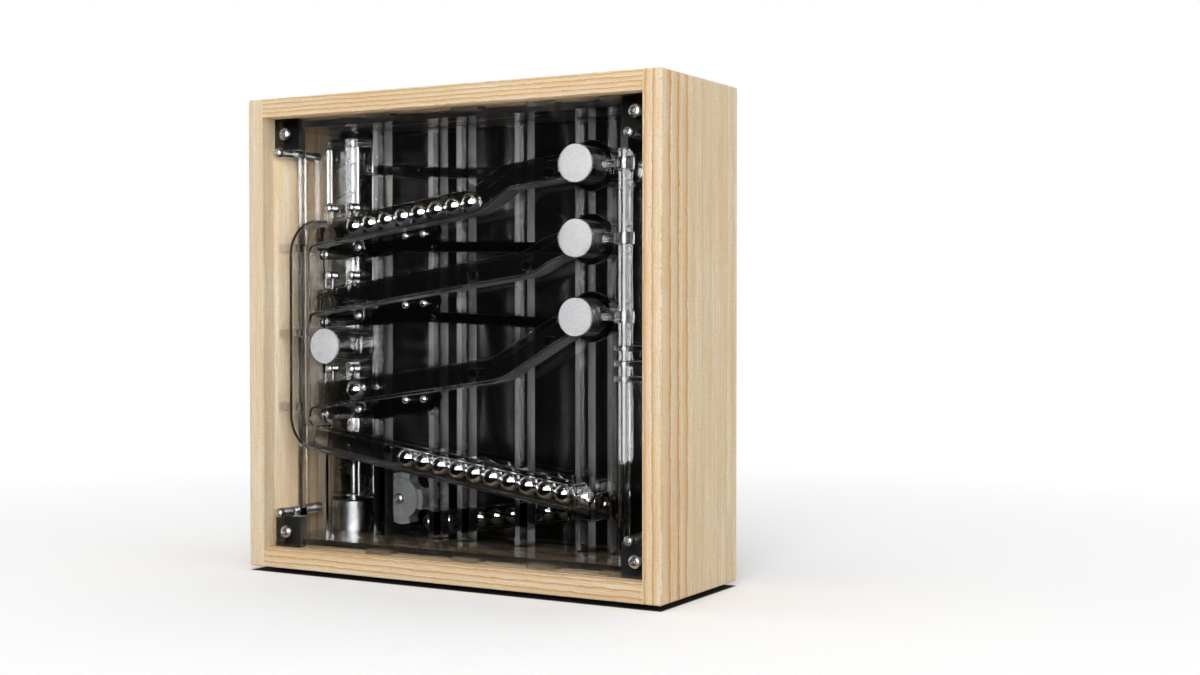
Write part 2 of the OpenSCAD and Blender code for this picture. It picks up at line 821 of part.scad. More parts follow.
module gate(z0) {
    translate([first_x, 0, z0]) difference() {
        union() {
            slab(gate_y, gate_t) {
                translate(gate_p) circle(r = 3.6);
                band([gate_p, nose_p], -1.8, 1.8);
                translate(nose_p) circle(r = 1.8);
                band([gate_p, tail_p], -2, 2);
                translate(tail_p) circle(r = 2);
            }
            yrod(nose_p[0], nose_p[1], lane_y0 + wall + 0.6, gate_y + gate_t, nose_d);
            yrod(tail_p[0], tail_p[1], gate_y, lever_y + lever_t - 0.2, tail_d);
        }
        yrod(gate_p[0], gate_p[1], gate_y - 1, gate_y + gate_t + 1, pivot_d + 2 * run_fit);
    }
}

module minute_gate() {
    color("DarkSlateGray") gate(minute_z);
}

module tens_gate() {
    color("DarkSlateGray") gate(tens_z);
}

module hour_gate() {
    color("DarkSlateGray") gate(hour_z);
}

module gate_pivots() {
    color("Gainsboro") for (z = row_zs)
        screw(first_x + gate_p[0], lane_y1 - wall, z + gate_p[1], 4.6, pivot_d,
            wall + 0.4 + gate_t, 1);
}

module lever_bushings() {
    color("Gainsboro") for (z = row_zs) {
        yrod(first_x + ring_p[0], z + ring_p[1], lever_y - 0.3, mid_y, bush_d);
        difference() {
            yrod(first_x + ring_p[0], z + ring_p[1], lever_y - 1.5, lever_y - 0.3, 5.6);
            yrod(first_x + ring_p[0], z + ring_p[1], lever_y - 2, lever_y - 1, 3);
        }
    }
}

module track_screws() {
    color("Gainsboro") for (z = row_zs, p = lug_ps)
        screw(first_x + p[0], lane_y1 - wall, z + p[1], lug_head, m3, wall + mid_y - lane_y1, 1);
}

/* ---- lift ---- */
lift_bot = floor_z + 24;
lift_top = in_top - 15;
flight_z0 = lift_bot + 5;
flight_z1 = lift_top - 10;
// room between the inner edge of the flight and the shaft it is fixed on
flight_gap = 0.1;
flight_w = 30;
flight_n = 24;
guide_d = 2;
guide_r = lift_d / 2 - lift_wall - guide_d / 2 - 1.3;
guide_a = 38;
port_z = lift_bot + 7;

module lift_tube() {
    color("LightCyan") difference() {
        translate([lift_x, lift_y, lift_bot]) cylinder(d = lift_d, h = lift_top - lift_bot);
        translate([lift_x, lift_y, lift_bot - 1])
            cylinder(d = lift_d - 2 * lift_wall, h = lift_top - lift_bot + 2);
        for (z = [port_z, feed_top])
            translate([lift_x + 6, lift_y - half_in, z - half_in])
                cube([lift_d, 2 * half_in, 2 * half_in]);
        translate([lift_x, lift_y, left_tube_z]) rotate([0, 90, -45]) cylinder(d = wall_bore, h = lift_d);
    }
}

module lift_flight() {
    turns = (flight_z1 - flight_z0) / pitch;
    color("LightCyan") translate([lift_x, lift_y, flight_z0])
        linear_extrude(height = flight_z1 - flight_z0, twist = -360 * turns,
            slices = round(flight_n * turns), convexity = 10, $fn = 6)
        polygon(concat([for (a = [0, flight_w]) (flight_d / 2) * [cos(a), sin(a)]],
            [for (a = [flight_w, 0]) (shaft_d / 2 + flight_gap) * [cos(a), sin(a)]]));
}

module lift_shaft() {
    color("Silver") translate([lift_x, lift_y, lift_bot - 4])
        cylinder(d = shaft_d, h = lift_top + 6 - lift_bot + 4);
}

module lift_guides() {
    color("Silver") for (a = [-guide_a, guide_a])
        translate([lift_x + guide_r * cos(a), lift_y + guide_r * sin(a), lift_bot])
            cylinder(d = guide_d, h = lift_top - lift_bot);
}

module lift_base() {
    color("LightCyan") difference() {
        translate([lift_x, lift_y, floor_z]) cylinder(d = lift_d, h = lift_bot - floor_z);
        translate([lift_x, lift_y, floor_z - 1]) cylinder(d = motor_d, h = lift_bot - floor_z - 3);
        translate([lift_x, lift_y, floor_z]) cylinder(d = shaft_d + 2 * run_fit, h = lift_bot);
    }
}

module lift_cap() {
    color("LightCyan") difference() {
        translate([lift_x, lift_y, lift_top]) cylinder(d = lift_d, h = 5);
        translate([lift_x, lift_y, lift_top - 1]) cylinder(d = shaft_d + 2 * run_fit, h = 9);
    }
}

motor_top = lift_bot - 4.5;

module lift_motor() {
    color("Silver") translate([lift_x, lift_y, floor_z])
        cylinder(d = motor_d, h = motor_top - floor_z);
}

pocket_n = 4;
pocket_r = 18.4;
pocket_d = ball_d + 1;
wheel_t = 10;
wheel_y = rear_y - wheel_t / 2;
wheel_bore = 4;
house_r = 26;

module feed_wheel() {
    color("WhiteSmoke") difference() {
        union() {
            difference() {
                yrod(wheel_x, wheel_z, wheel_y, wheel_y + wheel_t, wheel_d);
                for (i = [0 : pocket_n - 1])
                    yrod(wheel_x + pocket_r * cos(45 + i * 90), wheel_z + pocket_r * sin(45 + i * 90),
                        wheel_y - 1, wheel_y + wheel_t + 1, pocket_d);
            }
            yrod(wheel_x, wheel_z, wheel_y - 1, wheel_y + 0.5, 27);
        }
        yrod(wheel_x, wheel_z, wheel_y - 2, wheel_y + wheel_t + 1, wheel_bore + 2 * run_fit);
    }
}

module wheel_screw() {
    color("Gainsboro") screw(wheel_x, rear_y0, wheel_z, 7, wheel_bore, lane_w, 1);
}

module wheel_housing() {
    color("LightCyan") difference() {
        union() {
            slab(rear_y0, lane_w) ring_part([wheel_x, wheel_z], house_r - floor_t, house_r, -14, 130);
            slab(rear_y0, lane_w) ring_part([wheel_x, wheel_z], house_r - floor_t, house_r, 185, 300);
            for (y = [rear_y0, rear_y1 - wall]) slab(y, wall) difference() {
                translate([wheel_x, wheel_z]) circle(r = house_r);
                translate([wheel_x + 22, wheel_z - 40]) square([20, 40]);
            }
        }
        yrod(wheel_x, wheel_z, rear_y0 - 1, rear_y1 + 1, wheel_bore);
    }
}

/* ---- balls ---- */
module ball(x, y, z) {
    translate([x, y, z]) sphere(d = ball_d);
}

module ball_row(p, d, y, count) {
    for (i = [0 : count - 1]) ball(p[0] + i * step * d[0], y, p[1] + i * step * d[1]);
}

module minute_balls() {
    color("Silver") ball_row([first_x, minute_z], row_dir, lane_y, minute_count);
}

module hour_ball() {
    color("Silver") ball(first_x, lane_y, hour_z);
}

module reservoir_balls() {
    color("Silver") ball_row(res_at(res_x0), [cos(slope), -sin(slope)], lane_y, front_count);
}

turn_y0 = rear_y0 - 2.5;
turn_n = 3;

// balls that wait in the turn and in the rear track
module rear_balls() {
    a = res_at(turn_x)[1] - 1.2;
    b = rear_at(turn_x)[1];
    fall = atan((a - b) / (rear_y0 + wall - lane_y1 + wall));
    color("Silver") {
        ball_row(rear_at(rear_x0), row_dir, rear_y, rear_n);
        for (i = [0 : turn_n - 1]) {
            y = turn_y0 - i * step * cos(fall);
            ball(turn_x, y, b + (rear_y0 + wall - y) * tan(fall) + half_in * (1 / cos(fall) - 1));
        }
    }
}

/* ---- power ---- */
board_w = 36;
board_h = 28;
board_thick = 1.6;
board_z = inlet_xz[1] + 18;

module power_inlet() {
    color("Black") difference() {
        union() {
            yrod(inlet_xz[0], inlet_xz[1], back_y - 9, back_y + panel_t, inlet_d);
            yrod(inlet_xz[0], inlet_xz[1], back_y + panel_t, back_y + panel_t + 1.5, inlet_d + 3);
        }
        yrod(inlet_xz[0], inlet_xz[1], back_y - 6, back_y + panel_t + 3, 5.5);
    }
    color("Silver") yrod(inlet_xz[0], inlet_xz[1], back_y - 7, back_y + panel_t, 1.6);
}

module control_board() {
    y = back_y - board_thick;
    color("DarkGreen") slab(y, board_thick)
        panel_shape(inlet_xz[0] - board_w / 2, inlet_xz[0] + board_w / 2 - 2, board_z,
            board_z + board_h);
    color("Black") translate([inlet_xz[0] - 8, y - 2, board_z + 8]) cube([12, 2.1, 12]);
}

left_side();
right_side();
top_board();
bottom_board();
front_panel();
back_panel();
corner_blocks();
corner_screws();
feet();
standoffs();
standoff_screws();
base_plate();
top_plate();
posts();
mid_plate();
minute_track();
tens_track();
hour_track();
left_lane();
reservoir_track();
rear_track();
feed_track();
tens_carry_track();
hour_carry_track();
minute_tube();
tens_tube();
hour_tube();
overflow_tube();
tube_caps();
right_column();
column_clamps();
lane_straps();
minute_lever();
tens_lever();
hour_lever();
minute_weights();
tens_weights();
hour_weights();
minute_gate();
tens_gate();
hour_gate();
gate_pivots();
lever_bushings();
track_screws();
lift_tube();
lift_flight();
lift_shaft();
lift_guides();
lift_base();
lift_cap();
lift_motor();
feed_wheel();
wheel_screw();
wheel_housing();
minute_balls();
hour_ball();
reservoir_balls();
rear_balls();
power_inlet();
control_board();
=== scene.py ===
import math
import bmesh
import bpy
from mathutils import Matrix, Vector

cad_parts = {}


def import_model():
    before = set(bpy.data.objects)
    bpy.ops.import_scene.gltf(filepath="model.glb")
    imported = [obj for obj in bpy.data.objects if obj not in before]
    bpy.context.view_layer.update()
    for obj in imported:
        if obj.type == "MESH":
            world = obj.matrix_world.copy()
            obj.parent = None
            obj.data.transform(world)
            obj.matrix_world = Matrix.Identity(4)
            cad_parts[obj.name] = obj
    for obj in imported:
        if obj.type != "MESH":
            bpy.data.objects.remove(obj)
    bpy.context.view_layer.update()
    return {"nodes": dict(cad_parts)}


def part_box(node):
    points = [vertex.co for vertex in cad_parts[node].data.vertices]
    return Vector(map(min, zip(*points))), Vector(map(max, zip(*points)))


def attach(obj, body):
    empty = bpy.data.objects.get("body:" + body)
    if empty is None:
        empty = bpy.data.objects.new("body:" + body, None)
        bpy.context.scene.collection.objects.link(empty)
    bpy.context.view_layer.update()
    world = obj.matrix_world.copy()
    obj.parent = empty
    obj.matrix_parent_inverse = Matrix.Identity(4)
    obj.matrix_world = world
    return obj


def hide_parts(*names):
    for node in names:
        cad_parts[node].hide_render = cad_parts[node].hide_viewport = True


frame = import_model()
MM = 0.001
SEED = 7


# ---- node helpers ----

def link(tree, source, target):
    tree.links.new(source, target)


def node(tree, kind, **values):
    """A node with its properties; inputs is a dict of name or index to value or socket."""
    made = tree.nodes.new(kind)
    inputs = values.pop("inputs", {})
    for name, value in values.items():
        setattr(made, name, value)
    for name, value in inputs.items():
        if isinstance(value, bpy.types.NodeSocket):
            link(tree, value, made.inputs[name])
        else:
            made.inputs[name].default_value = value
    return made


def math_node(tree, operation, a, b=0.0, clamp=False):
    return node(tree, "ShaderNodeMath", operation=operation, use_clamp=clamp,
                inputs={0: a, 1: b}).outputs[0]


def mix_colour(tree, factor, a, b, blend="MIX"):
    made = node(tree, "ShaderNodeMix", data_type="RGBA", blend_type=blend,
                inputs={0: factor, 6: a, 7: b})
    return made.outputs[2]


def remap(tree, value, low, high, to_low=0.0, to_high=1.0):
    return node(tree, "ShaderNodeMapRange",
                inputs={0: value, 1: low, 2: high, 3: to_low, 4: to_high}).outputs[0]


def noise(tree, vector, scale, detail=4.0, roughness=0.55):
    return node(tree, "ShaderNodeTexNoise",
                inputs={"Vector": vector, "Scale": scale, "Detail": detail,
                        "Roughness": roughness}).outputs[0]


def mapped(tree, vector, scale=(1, 1, 1), turn=(0, 0, 0), move=(0, 0, 0)):
    return node(tree, "ShaderNodeMapping",
                inputs={"Vector": vector, "Scale": scale, "Rotation": turn,
                        "Location": move}).outputs[0]


def shader_group(name, inputs, outputs):
    """A new shader node group with its sockets; returns tree, group input and group output."""
    tree = bpy.data.node_groups.new(name, "ShaderNodeTree")
    for label, kind, default in inputs:
        socket = tree.interface.new_socket(label, in_out="INPUT", socket_type=kind)
        socket.default_value = default
    for label, kind in outputs:
        tree.interface.new_socket(label, in_out="OUTPUT", socket_type=kind)
    return tree, tree.nodes.new("NodeGroupInput"), tree.nodes.new("NodeGroupOutput")


def rgb(r, g, b):
    """A colour written as it shows on screen, 0 to 255, for a socket."""
    def linear(v):
        v /= 255
        return v / 12.92 if v <= 0.04045 else ((v + 0.055) / 1.055) ** 2.4
    return (linear(r), linear(g), linear(b), 1.0)


FLOAT, COLOUR, VECTOR = "NodeSocketFloat", "NodeSocketColor", "NodeSocketVector"


# ---- shared effects ----

def straight_grain():
    """Straight grain along X of the vector: rings that darken slowly and end in a sharp line."""
    tree, given, out = shader_group("straight_grain", [
        ("Vector", VECTOR, (0, 0, 0)), ("Light", COLOUR, (1, 1, 1, 1)),
        ("Dark", COLOUR, (1, 1, 1, 1)), ("Line", COLOUR, (1, 1, 1, 1)),
        ("Start", FLOAT, 0.0), ("Spacing", FLOAT, 0.0095), ("Fine spacing", FLOAT, 0.0023),
        ("Strong from", FLOAT, -1.0), ("Strong to", FLOAT, 1.0)],
        [("Color", COLOUR), ("Roughness", FLOAT), ("Height", FLOAT)])
    bend, tremor = 2.4 * MM, 2.7 * MM  # how far slow and quick noise move a line
    fade = 3.0 * MM  # over which the strong stretch begins and ends
    weakest, strength = 0.16, 0.9  # of the lines outside and inside the strong stretch
    fleck_colour = rgb(160, 134, 100)
    vector = given.outputs["Vector"]
    across = node(tree, "ShaderNodeSeparateXYZ", inputs={0: vector})
    place = math_node(tree, "ADD", across.outputs[1],
                      math_node(tree, "MULTIPLY", across.outputs[2], 2.0))
    slow = noise(tree, mapped(tree, vector, scale=(9, 50, 50)), 1.0, 2.0)
    quick = noise(tree, mapped(tree, vector, scale=(90, 160, 160)), 1.0, 5.0, 0.75)
    warped = math_node(tree, "ADD", place, remap(tree, slow, 0.0, 1.0, -bend, bend))
    warped = math_node(tree, "ADD", warped, remap(tree, quick, 0.0, 1.0, -tremor, tremor))

    def ring(spacing):
        """How far a place lies into its ring, and the ring's number."""
        from_start = math_node(tree, "SUBTRACT", warped, given.outputs["Start"])
        rings = math_node(tree, "DIVIDE", from_start, spacing)
        return math_node(tree, "FRACT", rings), math_node(tree, "FLOOR", rings)

    coarse, _ = ring(given.outputs["Spacing"])
    fine, fine_number = ring(given.outputs["Fine spacing"])
    past_start = math_node(tree, "SUBTRACT", place, given.outputs["Strong from"])
    before_end = math_node(tree, "SUBTRACT", given.outputs["Strong to"], place)
    strong = math_node(tree, "MULTIPLY", remap(tree, past_start, -fade, fade),
                       remap(tree, before_end, -fade, fade))
    strong = math_node(tree, "ADD", math_node(tree, "MULTIPLY", strong, strength), weakest)
    lot = node(tree, "ShaderNodeTexWhiteNoise", noise_dimensions="1D",
               inputs={"W": fine_number}).outputs[0]
    late = math_node(tree, "MULTIPLY", math_node(tree, "POWER", coarse, 3.0), strong)
    faint = math_node(tree, "MULTIPLY", math_node(tree, "POWER", fine, 3.0), lot)
    fibre = noise(tree, mapped(tree, vector, scale=(45, 1400, 1400)), 1.0, 3.0, 0.75)
    fleck = remap(tree, noise(tree, mapped(tree, vector, scale=(650, 1500, 1500)), 1.0, 2.0),
                  0.60, 0.70)
    cloud = noise(tree, mapped(tree, vector, scale=(10, 120, 120), move=(4, 2, 7)), 1.0, 2.0)
    tone = mix_colour(tree, remap(tree, cloud, 0.35, 0.65, 0.0, 0.55), given.outputs["Light"],
                      given.outputs["Dark"])
    tone = mix_colour(tree, faint, tone, given.outputs["Dark"])
    tone = mix_colour(tree, remap(tree, fibre, 0.42, 0.66, 0.0, 0.8), tone, given.outputs["Dark"])
    tone = mix_colour(tree, late, tone, given.outputs["Line"])
    half_late = math_node(tree, "MULTIPLY", late, 0.5)
    tone = mix_colour(tree, math_node(tree, "MULTIPLY", faint, half_late), tone,
                      given.outputs["Line"])
    tone = mix_colour(tree, math_node(tree, "MULTIPLY", fleck, 0.7), tone, fleck_colour)
    link(tree, tone, out.inputs["Color"])
    link(tree, remap(tree, fibre, 0.2, 0.8, 0.45, 0.65), out.inputs["Roughness"])
    rough = math_node(tree, "SUBTRACT", fibre, math_node(tree, "MULTIPLY", fleck, 0.6))
    link(tree, math_node(tree, "ADD", rough, half_late), out.inputs["Height"])
    return tree


def fine_marks():
    """Faint wipe marks and dust on polished plastic and metal."""
    tree, given, out = shader_group("fine_marks", [
        ("Vector", VECTOR, (0, 0, 0)), ("Scale", FLOAT, 1.0), ("Clean", FLOAT, 0.02),
        ("Marked", FLOAT, 0.12)], [("Roughness", FLOAT), ("Height", FLOAT), ("Mask", FLOAT)])
    scaled = node(tree, "ShaderNodeVectorMath", operation="SCALE",
                  inputs={0: given.outputs["Vector"], "Scale": given.outputs["Scale"]}).outputs[0]
    wipe = noise(tree, mapped(tree, scaled, scale=(40, 900, 240), turn=(0.2, 0.4, 0.7)), 1.0, 3.0)
    cloud = noise(tree, scaled, 45.0, 4.0)
    mask = math_node(tree, "MULTIPLY", remap(tree, wipe, 0.52, 0.72), remap(tree, cloud, 0.4, 0.7))
    spread = math_node(tree, "SUBTRACT", given.outputs["Marked"], given.outputs["Clean"])
    link(tree, math_node(tree, "ADD", given.outputs["Clean"],
                         math_node(tree, "MULTIPLY", mask, spread)), out.inputs["Roughness"])
    link(tree, math_node(tree, "ADD", cloud, math_node(tree, "MULTIPLY", wipe, 0.4)),
         out.inputs["Height"])
    link(tree, mask, out.inputs["Mask"])
    return tree


def speckle():
    """Moulded grain: tiny pits and a slight unevenness of tone."""
    tree, given, out = shader_group("speckle", [
        ("Vector", VECTOR, (0, 0, 0)), ("Scale", FLOAT, 1500.0), ("Base", COLOUR, (1, 1, 1, 1)),
        ("Spot", COLOUR, (0, 0, 0, 1)), ("Spots", FLOAT, 0.5), ("Rough", FLOAT, 0.5)],
        [("Color", COLOUR), ("Roughness", FLOAT), ("Height", FLOAT)])
    cells = node(tree, "ShaderNodeTexVoronoi", feature="F1",
                 inputs={"Vector": given.outputs["Vector"], "Scale": given.outputs["Scale"]})
    pit = remap(tree, cells.outputs["Distance"], 0.18, 0.42, 1.0, 0.0)
    patch = noise(tree, given.outputs["Vector"], 220.0, 5.0)
    tone = mix_colour(tree, math_node(tree, "MULTIPLY", pit, given.outputs["Spots"]),
                      given.outputs["Base"], given.outputs["Spot"])
    tone = mix_colour(tree, remap(tree, patch, 0.35, 0.75, 0.0, 0.12), tone,
                      given.outputs["Spot"])
    link(tree, tone, out.inputs["Color"])
    link(tree, math_node(tree, "ADD", given.outputs["Rough"],
                         remap(tree, patch, 0.3, 0.7, -0.08, 0.1), clamp=True),
         out.inputs["Roughness"])
    link(tree, math_node(tree, "SUBTRACT", math_node(tree, "MULTIPLY", patch, 0.5), pit),
         out.inputs["Height"])
    return tree


def lathe_marks():
    """Fine turning rings round the Z axis of the vector, for turned and brushed metal."""
    tree, given, out = shader_group("lathe_marks", [
        ("Vector", VECTOR, (0, 0, 0)), ("Scale", FLOAT, 1.0), ("Base", COLOUR, (1, 1, 1, 1)),
        ("Stain", COLOUR, (0, 0, 0, 1)), ("Rough", FLOAT, 0.25)],
        [("Color", COLOUR), ("Roughness", FLOAT), ("Height", FLOAT)])
    scaled = node(tree, "ShaderNodeVectorMath", operation="SCALE",
                  inputs={0: given.outputs["Vector"], "Scale": given.outputs["Scale"]}).outputs[0]
    hair = noise(tree, mapped(tree, scaled, scale=(300, 300, 9000)), 1.0, 3.0, 0.7)
    cloud = noise(tree, scaled, 160.0, 4.0)
    link(tree, mix_colour(tree, remap(tree, cloud, 0.4, 0.8, 0.0, 0.5), given.outputs["Base"],
                          given.outputs["Stain"]), out.inputs["Color"])
    link(tree, math_node(tree, "ADD", given.outputs["Rough"],
                         remap(tree, hair, 0.3, 0.7, -0.08, 0.14), clamp=True),
         out.inputs["Roughness"])
    link(tree, hair, out.inputs["Height"])
    return tree


GRAIN, MARKS, SPECKLE, LATHE = straight_grain(), fine_marks(), speckle(), lathe_marks()


# ---- materials ----

ACRYLIC_IOR = 1.49
CUT_ROUGHNESS = 0.42  # of the faces that a saw has cut
CUT_FACING = 0.8  # how squarely a face looks along the cut axis to count as cut
DUSTY = (0.8, 0.82, 0.82, 1)


def new_material(name):
    """A material with its tree, object coordinates, main shader and output."""
    made = bpy.data.materials.new(name)
    made.use_nodes = True
    tree = made.node_tree
    tree.nodes.clear()
    place = node(tree, "ShaderNodeTexCoord").outputs["Object"]
    shader = node(tree, "ShaderNodeBsdfPrincipled")
    out = node(tree, "ShaderNodeOutputMaterial")
    link(tree, shader.outputs[0], out.inputs[0])
    return made, tree, place, shader, out


def effect(tree, group, **inputs):
    """A shared effect; inputs are named as the group's sockets in small letters."""
    made = tree.nodes.new("ShaderNodeGroup")
    made.node_tree = group
    for name, value in inputs.items():
        name = name.replace("_", " ").capitalize()
        if isinstance(value, bpy.types.NodeSocket):
            link(tree, value, made.inputs[name])
        else:
            made.inputs[name].default_value = value
    return made


def relief(tree, shader, height, depth, strength=1.0):
    """Bump of a depth in millimetres."""
    bump = node(tree, "ShaderNodeBump", inputs={"Strength": strength, "Distance": depth * MM,
                                                "Height": height})
    link(tree, bump.outputs[0], shader.inputs["Normal"])


def wood(name, turn, start, spacing, fine, strong):
    """Pale wood, oiled; strong gives where the contour lines are strong across the grain."""
    made, tree, place, shader, _ = new_material(name)
    grain = effect(tree, GRAIN, vector=mapped(tree, place, turn=turn),
                   light=rgb(236, 224, 202), dark=rgb(218, 188, 144), line=rgb(204, 146, 66),
                   start=start, spacing=spacing, fine_spacing=fine, strong_from=strong[0],
                   strong_to=strong[1])
    link(tree, grain.outputs["Color"], shader.inputs["Base Color"])
    link(tree, grain.outputs["Roughness"], shader.inputs["Roughness"])
    shader.inputs["Specular IOR Level"].default_value = 0.35
    relief(tree, shader, grain.outputs["Height"], 0.07)
    return made


def clear(name, tint=(1, 1, 1, 1), clean=0.0, marked=0.04, shade=(0.8, 0.81, 0.81, 1),
          edge=0.0, cut=None, mirror=0.5):
    """Clear acrylic that lets lamps reach what is behind it, coloured by shade.

    edge is the radius in mm that edges are shaded round with, cut the axis that its frosted
    cut faces look along, and mirror how strongly it mirrors.
    """
    made, tree, place, shader, out = new_material(name)
    marks = effect(tree, MARKS, vector=place, clean=clean, marked=marked)
    if edge:
        soft_edge = node(tree, "ShaderNodeBevel", samples=4, inputs={"Radius": edge * MM})
        link(tree, soft_edge.outputs[0], shader.inputs["Normal"])
    dust = math_node(tree, "MULTIPLY", marks.outputs["Mask"], 0.15)
    link(tree, mix_colour(tree, dust, tint, DUSTY), shader.inputs["Base Color"])
    rough = marks.outputs["Roughness"]
    if cut:
        normal = node(tree, "ShaderNodeTexCoord").outputs["Normal"]
        either_way = node(tree, "ShaderNodeVectorMath", operation="ABSOLUTE",
                          inputs={0: normal}).outputs[0]
        side = node(tree, "ShaderNodeVectorMath", operation="DOT_PRODUCT",
                    inputs={0: either_way, 1: cut}).outputs["Value"]
        is_cut = math_node(tree, "GREATER_THAN", side, CUT_FACING)
        rough = math_node(tree, "MAXIMUM", rough,
                          math_node(tree, "MULTIPLY", is_cut, CUT_ROUGHNESS))
    link(tree, rough, shader.inputs["Roughness"])
    shader.inputs["Transmission Weight"].default_value = 1.0
    shader.inputs["Specular IOR Level"].default_value = mirror
    shader.inputs["IOR"].default_value = ACRYLIC_IOR
    through = node(tree, "ShaderNodeBsdfTransparent", inputs={0: shade})
    path = node(tree, "ShaderNodeLightPath")
    mixed = node(tree, "ShaderNodeMixShader")
    link(tree, path.outputs["Is Shadow Ray"], mixed.inputs[0])
    link(tree, shader.outputs[0], mixed.inputs[1])
    link(tree, through.outputs[0], mixed.inputs[2])
    link(tree, mixed.outputs[0], out.inputs[0])
    return made


def moulded(name, base, spot, scale=1500.0, spots=0.4, rough=0.5, depth=0.03, mirror=0.5):
    """Plastic or rubber with a moulded grain, its pits depth mm deep."""
    made, tree, place, shader, _ = new_material(name)
    grain = effect(tree, SPECKLE, vector=place, scale=scale, base=base, spot=spot, spots=spots,
                   rough=rough)
    link(tree, grain.outputs["Color"], shader.inputs["Base Color"])
    link(tree, grain.outputs["Roughness"], shader.inputs["Roughness"])
    shader.inputs["Specular IOR Level"].default_value = mirror
    relief(tree, shader, grain.outputs["Height"], depth)
    return made


def metal(name, base, stain, rough, scale=1.0, depth=0.01):
    """Turned metal with fine rings, depth mm deep."""
    made, tree, place, shader, _ = new_material(name)
    lathe = effect(tree, LATHE, vector=place, scale=scale, base=base, stain=stain, rough=rough)
    link(tree, lathe.outputs["Color"], shader.inputs["Base Color"])
    link(tree, lathe.outputs["Roughness"], shader.inputs["Roughness"])
    shader.inputs["Metallic"].default_value = 1.0
    relief(tree, shader, lathe.outputs["Height"], depth)
    return made


LYING, UP = (0, 0, 0), (0, math.radians(90), 0)
LOOKS = {
    "side_wood": wood("side_wood", turn=UP, start=0.2473, spacing=0.0088, fine=0.0036,
                      strong=(0.258, 0.285)),
    "side_wood_right": wood("side_wood_right", turn=UP, start=-0.3385, spacing=0.0105,
                            fine=0.0041, strong=(-0.348, -0.316)),
    "top_wood": wood("top_wood", turn=LYING, start=0.5325, spacing=0.0056, fine=0.0024,
                     strong=(0.3, 0.8)),
    "bottom_wood": wood("bottom_wood", turn=LYING, start=-0.0440, spacing=0.0078, fine=0.0026,
                        strong=(-0.06, 0.02)),
    "clear_panel": clear("clear_panel", marked=0.03, shade=(0.84, 0.84, 0.84, 1), mirror=0.15),
    "clear_acrylic": clear("clear_acrylic", edge=0.8, cut=(0, 0, 1)),
    "clear_post": clear("clear_post", cut=(1, 0, 0)),
    "clear_block": clear("clear_block", clean=0.34, marked=0.42),
    "clear_plate": clear("clear_plate", cut=(0, 1, 0)),
    "smoked_acrylic": clear("smoked_acrylic", tint=(0.16, 0.16, 0.17, 1), clean=0.03, marked=0.1,
                            shade=(0.35, 0.35, 0.36, 1)),
    "dark_panel": moulded("dark_panel", rgb(16, 16, 17), rgb(26, 26, 28), scale=900.0, spots=0.3,
                          rough=0.16, depth=0.002, mirror=0.25),
    "white_cap": moulded("white_cap", rgb(174, 174, 175), rgb(136, 138, 141), scale=700.0,
                         spots=0.5, rough=0.6, depth=0.06),
    "white_plastic": moulded("white_plastic", rgb(226, 228, 230), rgb(196, 198, 200),
                             scale=1200.0, spots=0.3, rough=0.35),
    "black_plastic": moulded("black_plastic", rgb(24, 24, 26), rgb(50, 50, 52), spots=0.5,
                             rough=0.4),
    "foot_rubber": moulded("foot_rubber", rgb(22, 22, 22), rgb(48, 48, 48), scale=900.0,
                           spots=0.6, rough=0.75, depth=0.06),
    "circuit_board": moulded("circuit_board", rgb(20, 70, 48), rgb(44, 104, 70), scale=500.0,
                             spots=0.5, rough=0.35),
    "steel_ball": metal("steel_ball", rgb(222, 222, 224), rgb(214, 213, 211), rough=0.04,
                        scale=0.3, depth=0.0),
    "screw_steel": metal("screw_steel", rgb(240, 240, 241), rgb(205, 205, 208), rough=0.30),
    "bright_pin": metal("bright_pin", rgb(244, 244, 245), rgb(226, 226, 228), rough=0.12),
    "block_aluminium": metal("block_aluminium", rgb(206, 208, 212), rgb(160, 162, 168),
                             rough=0.32, scale=0.5),
}

CAD_LOOKS = {
    "clear_panel": ["front_panel"],
    "dark_panel": ["back_panel"],
    "clear_acrylic": [
        "mid_plate", "minute_track", "tens_track", "hour_track", "left_lane", "reservoir_track",
        "rear_track", "feed_track", "tens_carry_track", "hour_carry_track", "minute_tube",
        "tens_tube", "hour_tube", "overflow_tube", "right_column", "column_clamps",
        "lane_straps", "lift_tube", "lift_flight", "lift_base", "lift_cap", "wheel_housing"],
    "clear_post": ["posts"],
    "clear_block": ["corner_blocks"],
    "clear_plate": ["base_plate", "top_plate"],
    "smoked_acrylic": ["minute_lever", "tens_lever", "hour_lever", "minute_gate", "tens_gate",
                       "hour_gate"],
    "white_cap": ["tube_caps"],
    "white_plastic": ["feed_wheel"],
    "black_plastic": ["power_inlet"],
    "foot_rubber": ["feet"],
    "circuit_board": ["control_board"],
    "screw_steel": ["lever_bushings", "lift_shaft", "lift_guides", "minute_weights",
                    "tens_weights", "hour_weights", "gate_pivots", "track_screws",
                    "wheel_screw", "corner_screws", "standoff_screws"],
    "block_aluminium": ["standoffs", "lift_motor"],
}
for look, names in CAD_LOOKS.items():
    for name in names:
        mesh = frame["nodes"][name].data
        mesh.materials.clear()
        mesh.materials.append(LOOKS[look])


# ---- pieces ----

CASE_BOX = (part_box("left_side")[0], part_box("right_side")[1])
TOUCH = 0.01 * MM  # how near to the case's box a face lies on it
OUTER_EASE, OTHER_EASE = 1.3 * MM, 0.15 * MM
SMALLEST_SIDE = 1e-4  # square metres; smaller outside faces are eased edges


def placed(name, data):
    """A new object of this mesh, lamp or camera in the scene."""
    made = bpy.data.objects.new(name, data)
    bpy.context.scene.collection.objects.link(made)
    return made


